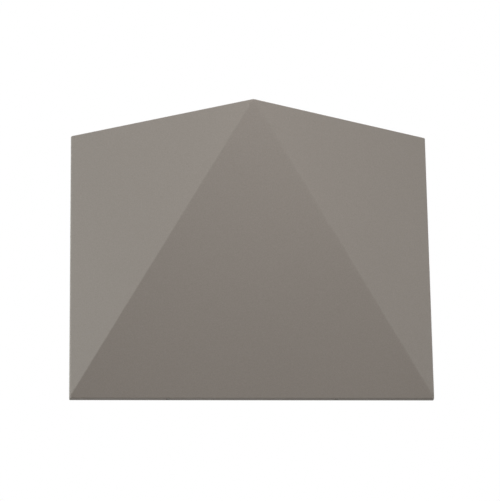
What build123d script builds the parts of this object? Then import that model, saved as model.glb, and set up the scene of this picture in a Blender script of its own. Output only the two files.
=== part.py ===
from build123d import *
import math
import os

# An outdoor wall light. A faceted aluminium cover, widest on the wall and pointed at the top
# middle, pulls straight off a wall plate. The plate carries the cable entry, the terminal
# block, the driver and a heat sink whose lamps shine up through a glass in the cover's top.
#
# Sizes are in millimetres. X is to the right, Y goes into the wall and Z is up. The origin is
# on the wall, midway between the two fixing slots of the wall plate.

# Cover, outside
cover_width = 260.0
cover_height = 200.0
cover_depth = 79.0
lip_depth = 6.0
wall_gasket_thickness = 1.5
crease_radius = 2.2
edge_radius = 0.7

# Cover, inside
wall = 2.5
rim_width = 4.0
flange_thickness = 3.0
rail_height = 12.0
rail_thickness = 2.5
rail_setback = 1.5
peg_radius = 2.5
peg_spacing = 100.0

# Fixing screws under the cover, which press on the tabs of the wall plate
fixing_screw_radius = 1.5
fixing_screw_length = 12.0
fixing_screw_spacing = 120.0
fixing_boss_width = 10.0
fixing_boss_height = 9.0
hex_key_size = 1.5
hex_socket_depth = 2.0

# Glass in the top of the cover, with its seal and clips
glass_thickness = 4.0
glass_chamfer = 0.4
glass_end_length = 8.5
glass_wall_inset = 5.0
glass_rail_gap = 1.0
glass_overlap = 3.0
lens_gasket_thickness = 1.5
lens_gasket_trim = 0.4
window_corner_radius = 2.0
clip_boss_radius = 3.5
clip_boss_gap = 0.8
clip_thickness = 1.0
clip_width = 6.4
clip_bite = 4.0
clip_corner_radius = 1.5
clip_screw_length = 5.0

# Wall plate
plate_thickness = 2.0
plate_side_gap = 31.0
plate_lower_gap = 8.6
plate_upper_gap = 7.0
plate_corner_radius = 6.0
ear_width = 14.0
ear_margin = 4.5
tab_width = 14.0
tab_depth = 7.0
slot_spacing = 160.0
slot_width = 4.8
slot_length = 10.0

# Cable grommet
grommet_bore_radius = 4.0
grommet_hole_radius = 9.0
grommet_flange_radius = 11.5
grommet_flange_thickness = 1.5
grommet_nose_radius = 6.0
grommet_length = 8.0

# Terminal block
pole_count = 3
pole_pitch = 8.0
terminal_height = 17.0
terminal_depth = 14.0
terminal_drop = 22.0
terminal_chamfer = 1.0
terminal_well_radius = 2.0
terminal_clamp_radius = 2.6
terminal_clamp_bore = 1.7
terminal_clamp_length = 15.0
terminal_screw_radius = 1.3
terminal_screw_spacing = 9.0
terminal_screw_length = 5.0

# Earth connection
earth_gap = 16.0
earth_lug_radius = 4.2
earth_lug_thickness = 0.8
earth_barrel_length = 6.0
washer_radius = 4.5
washer_thickness = 0.8

# Driver
driver_length = 65.0
driver_height = 26.0
driver_depth = 18.0
driver_grommet_gap = 3.0
driver_slot_gap = 5.6
driver_shell = 1.5
driver_lid_thickness = 2.0
driver_board_thickness = 1.6
driver_board_standoff = 3.0
driver_can_gap = 2.4

# Heat sink
sink_drop = 24.0
sink_leg_height = 18.0
sink_leg_thickness = 3.0
shelf_thickness = 3.0
shelf_half_width = 78.0
shelf_depth = 50.0
sink_wall_gap = 6.0
fin_count = 7
fin_pitch = 11.5
fin_thickness = 2.0
fin_height = 12.0
fin_depth = 42.0
sink_screw_spacing = 60.0

# Lamp board
board_length = 66.0
board_width = 13.0
board_thickness = 1.6
board_front_gap = 12.5
thermal_pad_thickness = 0.5
emitter_count = 4
emitter_pitch = 14.0
emitter_size = 5.0
emitter_base = 1.0
emitter_dome_radius = 2.1
connector_length = 6.0
connector_width = 7.0
connector_height = 4.0
connector_margin = 0.5
connector_chamfer = 0.5

# Reflector
reflector_height = 17.0
reflector_wall = 1.0
reflector_rear_gap = 2.0
reflector_cover_inset = 10.0
reflector_reach = 46.0
reflector_floor_scale = 0.75
reflector_screw_spacing = 112.0

# Wires
wire_radius = 1.0
wire_height = 6.0
wire_bend_radius = 10.0
wire_drop_gap = 1.5
wire_lane_pitch = 6.0
earth_bend_radii = (9.0, 7.0)
lamp_lead_radius = 0.8
lamp_lead_spacing = 2.1
lead_hole_radius = 3.0
lead_hole_gap = 8.0
lead_grommet_lip = 1.0

# Shares of the lamp leads' climb from the driver to the shelf: where they start and end their
# lean towards the front and the radius of their bends there, and the bend of their last turn
lean_start_share = 0.35
lean_end_share = 0.75
lean_bend_share = 0.2
last_turn_share = 0.45

# Small screws: shank radius, head radius and head height
small_screw = (1.45, 2.8, 2.2)
plate_screw = (1.95, 3.8, 2.6)
cross_slot_width = 0.9

# Shares of a small screw's own sizes: the round of its head, the length of a bar of its cross
# and the chamfer of its tip
head_round_share = 0.4
cross_length_share = 1.1
tip_chamfer_share = 0.3

# Ears by which the driver and the terminal block are screwed to the plate
screw_ear_length = 7.0
screw_ear_height = 11.0
screw_ear_thickness = 2.5

# Clearances
screw_clearance = 0.05
loose_fit = 0.2
seat_gap = 0.3

# Levels and places that follow from the sizes above
half_width = cover_width / 2
top = cover_height / 2
bottom = -top
rise = cover_depth - lip_depth
side_length = math.hypot(half_width, rise)
front_length = math.hypot(cover_height, rise)
cover_rear = -wall_gasket_thickness
hollow_half = half_width - rim_width
hollow_bottom = bottom + rim_width
flange_bottom = top - flange_thickness
rail_bottom = flange_bottom - rail_height
rail_rear = cover_rear - rail_setback
rail_front = rail_rear - rail_thickness
peg_level = rail_bottom + rail_height / 2
fixing_screw_y = -(wall_gasket_thickness + lip_depth) / 2

glass_top = flange_bottom - lens_gasket_thickness
glass_bottom = glass_top - glass_thickness
glass_rear = rail_front - glass_rail_gap
glass_end_y = glass_rear - glass_end_length
glass_end_inset = glass_wall_inset * side_length / rise
glass_half_width = half_width - glass_end_inset + (glass_end_y + lip_depth) * half_width / rise

plate_half = hollow_half - plate_side_gap
plate_bottom = hollow_bottom + plate_lower_gap
plate_top = rail_bottom - plate_upper_gap
plate_front = -plate_thickness

shelf_top = rail_bottom - sink_drop
shelf_bottom = shelf_top - shelf_thickness
leg_front = plate_front - sink_leg_thickness
leg_screw_level = shelf_top + sink_leg_height / 2
board_rear = leg_front - board_front_gap
board_front = board_rear - board_width
board_middle = (board_rear + board_front) / 2
pad_top = shelf_top + thermal_pad_thickness
board_top = pad_top + board_thickness
connector_y = board_rear - connector_margin - connector_width / 2
lead_hole_x = -board_length / 2 - lead_hole_gap
reflector_rear = leg_front - reflector_rear_gap - reflector_reach * (1 - reflector_floor_scale) / 2
reflector_screw_y = reflector_rear - reflector_wall - small_screw[1] - loose_fit

terminal_top = -terminal_drop
terminal_bottom = terminal_top - terminal_height
terminal_middle = (terminal_top + terminal_bottom) / 2
terminal_half = pole_count * pole_pitch / 2
earth_x = terminal_half + screw_ear_length + earth_gap
earth_z = terminal_middle
wire_y = plate_front - wire_height
ear_front = plate_front - screw_ear_thickness
driver_right = -grommet_flange_radius - driver_grommet_gap - screw_ear_length
driver_left = driver_right - driver_length
driver_bottom = slot_width / 2 + driver_slot_gap
driver_top = driver_bottom + driver_height
driver_middle = (driver_bottom + driver_top) / 2
driver_front = plate_front - driver_depth


def side_facet_y(x, inset):
    """Where the left and right facets are at x, moved inwards by inset."""
    across = half_width - abs(x)
    return -lip_depth - across * rise / half_width + inset * side_length / half_width


def side_facet_x(y, inset):
    """How far from the middle the side facets are at y, moved inwards by inset."""
    return half_width - (inset * side_length - (y + lip_depth) * half_width) / rise


def front_facet_y(z, inset):
    """Where the middle facet is at z, moved inwards by inset."""
    return -lip_depth - (z - bottom) * rise / cover_height + inset * front_length / cover_height


def outline_face(points, level):
    """A flat face through points in X and Y, at a level in Z."""
    return Pos(0, 0, level) * make_face(Polyline(*points, close=True))


def block_between(x_range, y_range, z_range):
    """A box between two limits along each axis."""
    middle = [sum(limits) / 2 for limits in (x_range, y_range, z_range)]
    size = [abs(limits[1] - limits[0]) for limits in (x_range, y_range, z_range)]
    return Pos(*middle) * Box(*size)


def span(middle, length):
    """The two ends of a length about its middle."""
    return (middle - length / 2, middle + length / 2)


def rod_along_y(radius, x, z, y_range):
    """A cylinder along Y between two depths."""
    middle = sum(y_range) / 2
    return Pos(x, middle, z) * Rot(90, 0, 0) * Cylinder(radius, abs(y_range[1] - y_range[0]))


def rod_along_z(radius, x, y, z_range):
    """A cylinder along Z between two levels."""
    middle = sum(z_range) / 2
    return Pos(x, y, middle) * Cylinder(radius, abs(z_range[1] - z_range[0]))


def faceted_block(inset, half, low, high, rear):
    """The solid behind the three facets, moved inwards by inset, between two levels."""
    shoulder = side_facet_y(half, inset)
    points = [(-half, rear), (-half, shoulder), (0, side_facet_y(0, inset)), (half, shoulder), (half, rear)]
    block = extrude(outline_face(points, low), amount=high - low, dir=(0, 0, 1))
    far = -2 * cover_depth
    sloping = [(front_facet_y(level, inset), level) for level in (low, high)]
    profile = [*sloping, (far, high), (far, low)]
    wedge = extrude(Plane.YZ * make_face(Polyline(*profile, close=True)), amount=cover_width, both=True)
    return block - wedge


def at_both_sides(spacing):
    """The two places in X that lie a spacing apart about the middle."""
    return (-spacing / 2, spacing / 2)


def pan_screw(sizes, length):
    """A pan head screw with a cross slot: head above Z 0, shank below it."""
    shank_radius, head_radius, head_height = sizes
    head = Pos(0, 0, head_height / 2) * Cylinder(head_radius, head_height)
    head = fillet(head.edges().group_by(Axis.Z)[-1], head_height * head_round_share)
    slot = Box(head_radius * cross_length_share, cross_slot_width, head_height)
    cross = Pos(0, 0, head_height) * (slot + Rot(0, 0, 90) * slot)
    shank = Pos(0, 0, -length / 2) * Cylinder(shank_radius, length)
    tipped = chamfer(shank.edges().group_by(Axis.Z)[0], shank_radius * tip_chamfer_share)
    return head - cross + tipped


def screw_from_front(sizes, length, x, y, z):
    """A pan head screw driven towards the wall, its head seated at depth y."""
    return Pos(x, y, z) * Rot(90, 0, 0) * pan_screw(sizes, length)


def tube_along(points, radii, radius):
    """A round wire through straight runs joined by arcs."""
    path = FilletPolyline(*points, radius=radii)
    start = Plane(origin=path @ 0, z_dir=path % 0)
    return sweep(start * Circle(radius), path=path)


def rounded_outer_block():
    """The outside of the cover as a solid, with its creases and edges rounded."""
    spare = rim_width
    block = faceted_block(0, half_width, bottom - spare, top + spare, cover_rear)
    creases = [
        edge
        for edge in block.edges()
        if abs((edge @ 0).Z - (edge @ 1).Z) > crease_radius and (edge @ 0.5).Y < cover_rear - crease_radius
    ]
    block = fillet(creases, crease_radius)
    block = block & Box(2 * cover_width, 4 * cover_depth, cover_height)
    near = edge_radius / 10
    rims = [
        edge
        for edge in block.edges()
        if abs(abs((edge @ 0.5).Z) - top) < near and (edge @ 0.5).Y < cover_rear - near
    ]
    return fillet(rims, edge_radius)


def clip_boss_places():
    """Centres in X and Y of the three bosses that hold the clips of the glass."""
    corner_x = glass_half_width + clip_boss_gap + clip_boss_radius
    corner_y = (rail_front + side_facet_y(corner_x, wall)) / 2
    front_y = side_facet_y(0, wall + 2 * clip_boss_radius - clip_boss_gap)
    return [(-corner_x, corner_y), (corner_x, corner_y), (0, front_y)]


def glass_outline(level):
    """The outline of the glass: it follows the cover and is cut off at its corners."""
    front_y = clip_boss_places()[2][1] + clip_boss_radius + clip_boss_gap
    front_x = side_facet_x(front_y, glass_wall_inset)
    points = [
        (-glass_half_width, glass_rear),
        (-glass_half_width, glass_end_y),
        (-front_x, front_y),
        (front_x, front_y),
        (glass_half_width, glass_end_y),
        (glass_half_width, glass_rear),
    ]
    return outline_face(points, level)


def window_outline(level):
    """The opening in the cover's top, which the glass overlaps from below."""
    opening = offset(glass_outline(level), -glass_overlap, kind=Kind.INTERSECTION)
    return fillet(opening.vertices(), window_corner_radius)


def cover_shell():
    """The faceted cover, open at the back and in its top, with its rail, pegs and bosses."""
    shell = rounded_outer_block()
    shell -= faceted_block(wall, hollow_half, hollow_bottom, flange_bottom, 0)
    shell -= extrude(window_outline(flange_bottom - wall), amount=flange_thickness + 2 * wall)
    rail_ends = (-hollow_half - wall / 2, hollow_half + wall / 2)
    shell += block_between(rail_ends, (rail_front, rail_rear), (rail_bottom, flange_bottom + wall / 2))
    for x in at_both_sides(peg_spacing):
        shell += rod_along_y(peg_radius, x, peg_level, (rail_rear - wall / 2, -seat_gap))
    for x, y in clip_boss_places():
        shell += rod_along_z(clip_boss_radius, x, y, (glass_bottom, flange_bottom + wall / 2))
        tapped = (glass_bottom - wall, flange_bottom - seat_gap)
        shell -= rod_along_z(small_screw[0] + screw_clearance, x, y, tapped)
    inside_skin = faceted_block(wall / 2, half_width, bottom, top, cover_rear)
    for x in at_both_sides(fixing_screw_spacing):
        across = span(x, fixing_boss_width)
        boss_top = bottom + fixing_boss_height
        boss = block_between(across, (-cover_depth, cover_rear), (bottom + wall / 2, boss_top))
        shell += boss & inside_skin
        hole = fixing_screw_radius + screw_clearance
        shell -= rod_along_z(hole, x, fixing_screw_y, (bottom - wall, boss_top + wall))
    return shell


def wall_gasket():
    """The closed ring of foam between the cover's rear rim and the wall."""
    across = span(0, cover_width - 2 * seat_gap)
    up = span(0, cover_height - 2 * seat_gap)
    outer = block_between(across, (cover_rear, 0), up)
    inner = block_between((-hollow_half, hollow_half), (cover_rear, 0), (hollow_bottom, flange_bottom))
    return outer - inner


def lens_glass():
    """The frosted glass under the opening in the cover's top."""
    return chamfer(extrude(glass_outline(glass_bottom), amount=glass_thickness).edges(), glass_chamfer)


def lens_gasket():
    """The silicone ring between the glass and the cover's top flange."""
    outer = offset(glass_outline(glass_top), -lens_gasket_trim, kind=Kind.INTERSECTION)
    inner = offset(glass_outline(glass_top), lens_gasket_trim - glass_overlap, kind=Kind.INTERSECTION)
    return extrude(outer - fillet(inner.vertices(), window_corner_radius), amount=lens_gasket_thickness)


def lens_clips():
    """Three flat clips that hold the glass up against its seal."""
    clips = []
    reach = clip_boss_radius + clip_boss_gap + clip_bite
    for x, y in clip_boss_places():
        plate = block_between((-clip_boss_radius, reach), span(0, clip_width), span(0, clip_thickness))
        plate = fillet(plate.edges().filter_by(Axis.Z), clip_corner_radius)
        plate -= Cylinder(small_screw[0] + loose_fit, clip_thickness)
        turn = 90 if x == 0 else (0 if x < 0 else 180)
        clips.append(Pos(x, y, glass_bottom - clip_thickness / 2) * Rot(0, 0, turn) * plate)
    return clips


def clip_screws():
    """The screws that hold the clips to the cover's bosses."""
    level = glass_bottom - clip_thickness
    screw = Rot(180, 0, 0) * pan_screw(small_screw, clip_screw_length)
    return [Pos(x, y, level) * screw for x, y in clip_boss_places()]


def fixing_screw(x):
    """A headless screw with a hexagon socket below and a pointed tip that presses on a tab."""
    tip_level = plate_bottom - seat_gap
    base_level = tip_level - fixing_screw_length
    body = rod_along_z(fixing_screw_radius, x, fixing_screw_y, (base_level, tip_level))
    body = chamfer(body.edges().group_by(Axis.Z)[-1], fixing_screw_radius / 2)
    socket = extrude(RegularPolygon(hex_key_size / 2, 6, major_radius=False), amount=hex_socket_depth)
    return body - Pos(x, fixing_screw_y, base_level) * socket


def screw_hole_in_plate(sizes, x, z):
    """A hole through the wall plate for the shank of a screw."""
    return rod_along_y(sizes[0] + screw_clearance, x, z, (-2 * plate_thickness, plate_thickness))


def plate_outline():
    """The wall plate with its two ears and two tabs, before its holes are cut."""
    body = block_between((-plate_half, plate_half), (plate_front, 0), (plate_bottom, plate_top))
    body = fillet(body.edges().filter_by(Axis.Y), plate_corner_radius)
    for x in at_both_sides(peg_spacing):
        up = (plate_top - plate_corner_radius, peg_level + ear_margin)
        ear = block_between(span(x, ear_width), (plate_front, 0), up)
        rounded = [edge for edge in ear.edges().filter_by(Axis.Y) if (edge @ 0.5).Z > plate_top]
        body += fillet(rounded, ear_margin / 2)
    for x in at_both_sides(fixing_screw_spacing):
        up = (plate_bottom, plate_bottom + plate_thickness)
        body += block_between(span(x, tab_width), (-tab_depth, 0), up)
    return body


def base_plate():
    """The pressed plate that is screwed to the wall and carries everything but the cover."""
    plate = plate_outline()
    for x in at_both_sides(peg_spacing):
        plate -= rod_along_y(peg_radius + loose_fit, x, peg_level, (-2 * plate_thickness, plate_thickness))
    for x in at_both_sides(slot_spacing):
        slot = Plane.XZ * SlotOverall(slot_length, slot_width)
        plate -= Pos(x, 0, 0) * extrude(slot, amount=2 * plate_thickness, both=True)
    plate -= rod_along_y(grommet_hole_radius, 0, 0, (-2 * plate_thickness, plate_thickness))
    plate -= screw_hole_in_plate(plate_screw, earth_x, earth_z)
    for x, z in terminal_screw_places() + driver_screw_places():
        plate -= screw_hole_in_plate(small_screw, x, z)
    for x in at_both_sides(sink_screw_spacing):
        plate -= screw_hole_in_plate(plate_screw, x, leg_screw_level)
    return plate


def cable_grommet():
    """The rubber sleeve in the plate's middle that the supply cable comes through."""
    body = rod_along_y(grommet_hole_radius, 0, 0, (plate_front, 0))
    flange_front = plate_front - grommet_flange_thickness
    body += rod_along_y(grommet_flange_radius, 0, 0, (flange_front, plate_front))
    body += rod_along_y(grommet_nose_radius, 0, 0, (-grommet_length, flange_front))
    front_edges = body.edges().group_by(Axis.Y)[0]
    body = fillet(front_edges, (grommet_nose_radius - grommet_bore_radius) / 3)
    return body - rod_along_y(grommet_bore_radius, 0, 0, (-2 * grommet_length, grommet_length))


def pole_places():
    """Where the poles of the terminal block are in X."""
    return [(number - (pole_count - 1) / 2) * pole_pitch for number in range(pole_count)]


def ear_places(left, right, level):
    """Centres in X and Z of the two ears beside a body that reaches from left to right."""
    return [(left - screw_ear_length / 2, level), (right + screw_ear_length / 2, level)]


def screw_ears(places):
    """The ears at these places, each with a loose hole for a small screw."""
    ears = []
    for x, z in places:
        ear = block_between(span(x, screw_ear_length), (ear_front, plate_front), span(z, screw_ear_height))
        ears.append(ear - rod_along_y(small_screw[0] + loose_fit, x, z, (ear_front, plate_front)))
    return ears


def ear_screws(places):
    """The small screws through the ears at these places."""
    length = -ear_front - seat_gap
    return [screw_from_front(small_screw, length, x, ear_front, z) for x, z in places]


def terminal_screw_places():
    """The two fixing screws of the terminal block, in X and Z."""
    return ear_places(-terminal_half, terminal_half, terminal_middle)


def terminal_block():
    """The plastic block with a clamp in each pole and an ear at each end."""
    front = plate_front - terminal_depth
    levels = (terminal_bottom, terminal_top)
    cells = []
    for x in pole_places():
        cell = block_between(span(x, pole_pitch), (front, plate_front), levels)
        edges = [edge for edge in cell.edges().filter_by(Axis.Z) if (edge @ 0.5).Y < ear_front]
        cells.append(chamfer(edges, terminal_chamfer))
    body = Part() + cells + screw_ears(terminal_screw_places())
    for x in pole_places():
        body -= rod_along_z(terminal_clamp_radius + screw_clearance, x, wire_y, levels)
        for z in span(terminal_middle, terminal_screw_spacing):
            body -= rod_along_y(terminal_well_radius, x, z, (2 * front, wire_y))
    return body


def terminal_clamps():
    """A brass tube in each pole, tapped for its two screws."""
    clamps = []
    levels = span(terminal_middle, terminal_clamp_length)
    for x in pole_places():
        tube = rod_along_z(terminal_clamp_radius, x, wire_y, levels)
        tube -= rod_along_z(terminal_clamp_bore, x, wire_y, levels)
        for z in span(terminal_middle, terminal_screw_spacing):
            tube -= rod_along_y(terminal_screw_radius + screw_clearance, x, z, (2 * wire_y, wire_y))
        clamps.append(tube)
    return clamps


def terminal_screws():
    """Two slotted screws in each pole, with their tips on the wire."""
    screws = []
    tip = wire_y - wire_radius - screw_clearance
    for x in pole_places():
        for z in span(terminal_middle, terminal_screw_spacing):
            screw = rod_along_y(terminal_screw_radius, x, z, (tip - terminal_screw_length, tip))
            slot = Box(2 * terminal_screw_radius, terminal_screw_radius, terminal_screw_radius / 2)
            screws.append(screw - Pos(x, tip - terminal_screw_length, z) * slot)
    return screws


def earth_stack():
    """The earth washer, the ring lug on it and the screw that holds both to the plate."""
    hole = plate_screw[0] + loose_fit
    washer_front = plate_front - washer_thickness
    washer = rod_along_y(washer_radius, earth_x, earth_z, (washer_front, plate_front))
    washer -= rod_along_y(hole, earth_x, earth_z, (washer_front, plate_front))
    lug_front = washer_front - earth_lug_thickness
    lug = rod_along_y(earth_lug_radius, earth_x, earth_z, (lug_front, washer_front))
    barrel_top = earth_z - earth_lug_radius - loose_fit
    barrel_radius = wire_radius + earth_lug_thickness
    barrel_y = washer_front - barrel_radius
    tongue = span(earth_x, 2 * barrel_radius)
    lug += block_between(tongue, (lug_front, washer_front), (barrel_top - barrel_radius, earth_z))
    barrel_levels = (barrel_top - barrel_radius - earth_barrel_length, barrel_top - barrel_radius)
    lug += rod_along_z(barrel_radius, earth_x, barrel_y, barrel_levels)
    lug -= rod_along_z(wire_radius + screw_clearance, earth_x, barrel_y, barrel_levels)
    lug -= rod_along_y(hole, earth_x, earth_z, (lug_front, washer_front))
    screw = screw_from_front(plate_screw, -lug_front - seat_gap, earth_x, lug_front, earth_z)
    wire_end = (earth_x, barrel_y, barrel_levels[1] - earth_barrel_length / 3)
    return washer, lug, screw, wire_end


def driver_screw_places():
    """The driver's two screws, one in each ear, in X and Z."""
    return ear_places(driver_left, driver_right, driver_middle)


def driver_lead_places():
    """Where the supply wires enter the bottom of the driver, in X, the inner one first."""
    inner = driver_right - driver_length / 4
    return inner, inner - pole_pitch


def driver_case():
    """The driver's tray with its two ears, holes for its wires and an open front."""
    lid_rear = driver_front + driver_lid_thickness
    tray = block_between((driver_left, driver_right), (lid_rear, plate_front), (driver_bottom, driver_top))
    tray = fillet(tray.edges().filter_by(Axis.Y), driver_shell)
    tray -= block_between(
        (driver_left + driver_shell, driver_right - driver_shell),
        (lid_rear, plate_front - driver_shell),
        (driver_bottom + driver_shell, driver_top - driver_shell),
    )
    tray += screw_ears(driver_screw_places())
    for x in driver_lead_places():
        tray -= rod_along_z(wire_radius + screw_clearance, x, wire_y, span(driver_bottom, 2 * wall))
    for x in lamp_lead_places():
        tray -= rod_along_z(lamp_lead_radius + screw_clearance, x, wire_y, span(driver_top, 2 * wall))
    return tray


def driver_lid():
    """The driver's front, with a skirt that fits inside the tray."""
    lid_rear = driver_front + driver_lid_thickness
    lid = block_between((driver_left, driver_right), (driver_front, lid_rear), (driver_bottom, driver_top))
    lid = fillet(lid.edges().filter_by(Axis.Y), driver_shell)
    inset = driver_shell + loose_fit
    skirt = block_between(
        (driver_left + inset, driver_right - inset),
        (lid_rear, lid_rear + driver_shell),
        (driver_bottom + inset, driver_top - inset),
    )
    inner = inset + driver_shell
    skirt -= block_between(
        (driver_left + inner, driver_right - inner),
        (lid_rear, lid_rear + driver_shell),
        (driver_bottom + inner, driver_top - inner),
    )
    return lid + skirt


def driver_board():
    """The driver's circuit board with a transformer and two capacitors on it."""
    inset = driver_shell + loose_fit
    back = plate_front - driver_shell
    board_y = (back - driver_board_standoff - driver_board_thickness, back - driver_board_standoff)
    space = driver_board_clear_of_leads()
    board = block_between((driver_left + inset, driver_right - inset), board_y, space)
    middle = sum(space) / 2
    coil_half = (space[1] - space[0]) / 2 - driver_shell
    tall = (board_y[0] - driver_depth / 3, board_y[0])
    coil_x = driver_left + driver_length / 4
    transformer = block_between(span(coil_x, 2 * coil_half), tall, span(middle, 2 * coil_half))
    can_radius = coil_half / 2
    can_pitch = 2 * can_radius + driver_can_gap
    can_x = driver_right - driver_length / 4
    cans = [rod_along_y(can_radius, x, middle, tall) for x in (can_x, can_x - can_pitch)]
    posts = [
        rod_along_y(driver_shell, x, middle, (board_y[1], back))
        for x in (driver_left + 3 * inset, driver_right - 3 * inset)
    ]
    return [board, transformer, *cans, *posts]


def driver_board_clear_of_leads():
    """The levels between which the driver's board lies, short of the ends of its wires."""
    margin = driver_shell + wire_radius + driver_board_standoff
    return driver_bottom + margin, driver_top - margin


def sink_screws():
    """The screws that hold the heat sink's leg to the plate."""
    length = -leg_front - seat_gap
    return [
        screw_from_front(plate_screw, length, x, leg_front, leg_screw_level)
        for x in at_both_sides(sink_screw_spacing)
    ]


def heat_sink():
    """The leg on the plate, the shelf under the lamps and the fins below it, cut to suit the cover."""
    shelf_rear = plate_front
    across = (-shelf_half_width, shelf_half_width)
    sink = block_between(across, (leg_front, shelf_rear), (shelf_bottom, shelf_top + sink_leg_height))
    sink += block_between(across, (shelf_rear - shelf_depth, shelf_rear), (shelf_bottom, shelf_top))
    for number in range(fin_count):
        x = (number - (fin_count - 1) / 2) * fin_pitch
        up = (shelf_bottom - fin_height, shelf_bottom)
        sink += block_between(span(x, fin_thickness), (shelf_rear - fin_depth, shelf_rear), up)
    room = faceted_block(wall + sink_wall_gap, hollow_half - sink_wall_gap, hollow_bottom, flange_bottom, 0)
    sink = sink & room
    for x in at_both_sides(sink_screw_spacing):
        sink -= rod_along_y(plate_screw[0] + loose_fit, x, leg_screw_level, (2 * leg_front, 0))
    through = (shelf_bottom, shelf_top)
    for x in board_screw_places():
        sink -= rod_along_z(small_screw[0] + screw_clearance, x, board_middle, through)
    for x in at_both_sides(reflector_screw_spacing):
        sink -= rod_along_z(small_screw[0] + screw_clearance, x, reflector_screw_y, through)
    sink -= rod_along_z(lead_hole_radius, lead_hole_x, connector_y, through)
    return sink


def board_screw_places():
    """The lamp board's screws lie between its outer and inner lamps."""
    return (-emitter_pitch, emitter_pitch)


def emitter_places():
    """Where the lamps are in X."""
    return [(number - (emitter_count - 1) / 2) * emitter_pitch for number in range(emitter_count)]


def board_layer(thickness, level):
    """A rectangle of the lamp board's size with holes for its screws, of some thickness at a level."""
    layer = block_between(span(0, board_length), (board_front, board_rear), (level, level + thickness))
    for x in board_screw_places():
        layer -= rod_along_z(small_screw[0] + loose_fit, x, board_middle, (level, level + thickness))
    return layer


def lamp_emitters():
    """The lamps: a square base and a clear dome on each."""
    lamps = []
    for x in emitter_places():
        base = Box(emitter_size, emitter_size, emitter_base)
        dome = Pos(0, 0, emitter_base / 2) * Sphere(emitter_dome_radius)
        lower_half = Pos(0, 0, -emitter_size) * Box(2 * emitter_size, 2 * emitter_size, 2 * emitter_size)
        lamps.append(Pos(x, board_middle, board_top + emitter_base / 2) * (base + (dome - lower_half)))
    return lamps


def lamp_connector():
    """The small push-in connector at the left end of the lamp board."""
    left = -board_length / 2
    up = (board_top, board_top + connector_height)
    body = block_between((left, left + connector_length), span(connector_y, connector_width), up)
    body = chamfer(body.edges().group_by(Axis.Z)[-1], connector_chamfer)
    for y in lamp_lead_depths():
        hole = Rot(0, 90, 0) * Cylinder(lamp_lead_radius + screw_clearance, connector_length)
        body -= Pos(left, y, board_top + connector_height / 2) * hole
    return body


def board_screws():
    """The screws that hold the lamp board and its pad to the shelf."""
    length = board_top - shelf_bottom
    return [Pos(x, board_middle, board_top) * pan_screw(small_screw, length) for x in board_screw_places()]


def reflector_corners(scale, shrink):
    """The reflector's outline in X and Y: a trapezium that follows the cover, scaled about its middle."""
    rear = leg_front - reflector_rear_gap
    front = rear - reflector_reach
    middle = (rear + front) / 2
    corners = []
    for y in (rear, front):
        half = side_facet_x(y, wall + reflector_cover_inset)
        corners.append((half, y))
    (rear_half, rear_y), (front_half, front_y) = corners
    slant = reflector_reach / math.hypot(reflector_reach, rear_half - front_half)
    rear_y = middle + (rear_y - middle) * scale - shrink
    front_y = middle + (front_y - middle) * scale + shrink
    lean = (rear_half - front_half) / reflector_reach
    rear_half = rear_half * scale - shrink / slant + shrink * lean
    front_half = front_half * scale - shrink / slant - shrink * lean
    return [(-rear_half, rear_y), (-front_half, front_y), (front_half, front_y), (rear_half, rear_y)]


def flared_block(shrink, level):
    """The solid that widens from a level to the reflector's mouth, drawn in by shrink."""
    lower = outline_face(reflector_corners(reflector_floor_scale, shrink), level)
    upper = outline_face(reflector_corners(1, shrink), shelf_top + reflector_height)
    return loft([lower, upper], ruled=True)


def reflector():
    """The white tray round the lamps that opens towards the glass."""
    tray = flared_block(0, shelf_top) - flared_block(reflector_wall, shelf_top + reflector_wall)
    floor = (shelf_top, shelf_top + reflector_wall)
    across = span(0, board_length + 2 * seat_gap)
    tray -= block_between(across, span(board_middle, board_width + 2 * seat_gap), floor)
    tray -= rod_along_z(lead_hole_radius + lead_grommet_lip + loose_fit, lead_hole_x, connector_y, floor)
    for x in at_both_sides(reflector_screw_spacing):
        tray -= rod_along_z(small_screw[0] + loose_fit, x, reflector_screw_y, floor)
    return tray


def reflector_screws():
    """The screws through the reflector's floor."""
    level = shelf_top + reflector_wall
    screw = pan_screw(small_screw, level - shelf_bottom)
    return [Pos(x, reflector_screw_y, level) * screw for x in at_both_sides(reflector_screw_spacing)]


def lamp_lead_depths():
    """Where the two lamp leads pass through the shelf in Y."""
    return span(connector_y, lamp_lead_spacing)


def lamp_lead_places():
    """Where the two lamp leads leave the driver and pass through the shelf in X."""
    return span(lead_hole_x, lamp_lead_spacing)


def lead_grommet():
    """The small rubber ring in the shelf's hole that the lamp leads pass through."""
    ring = rod_along_z(lead_hole_radius, lead_hole_x, connector_y, (shelf_bottom, shelf_top))
    rim = lead_hole_radius + lead_grommet_lip
    ring += rod_along_z(rim, lead_hole_x, connector_y, (shelf_top, shelf_top + lead_grommet_lip))
    ring += rod_along_z(rim, lead_hole_x, connector_y, (shelf_bottom - lead_grommet_lip, shelf_bottom))
    bore = math.hypot(lamp_lead_spacing, lamp_lead_spacing) / 2 + lamp_lead_radius + screw_clearance
    levels = (shelf_bottom - 2 * lead_grommet_lip, shelf_top + 2 * lead_grommet_lip)
    return ring - rod_along_z(bore, lead_hole_x, connector_y, levels)


def lamp_leads():
    """The two leads from the driver, up through the shelf and across to the lamp board."""
    leads = []
    entry = -board_length / 2
    level = board_top + connector_height / 2
    for x, y in zip(lamp_lead_places(), lamp_lead_depths()):
        climb = shelf_bottom - driver_top
        points = [
            (x, wire_y, driver_top - driver_shell),
            (x, wire_y, driver_top + climb * lean_start_share),
            (x, y, driver_top + climb * lean_end_share),
            (x, y, level),
            (entry + connector_length / 2, y, level),
        ]
        bend = climb * lean_bend_share
        turn = min(level - driver_top - climb, entry - x) * last_turn_share
        leads.append(tube_along(points, [bend, bend, turn], lamp_lead_radius))
    return leads


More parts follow.
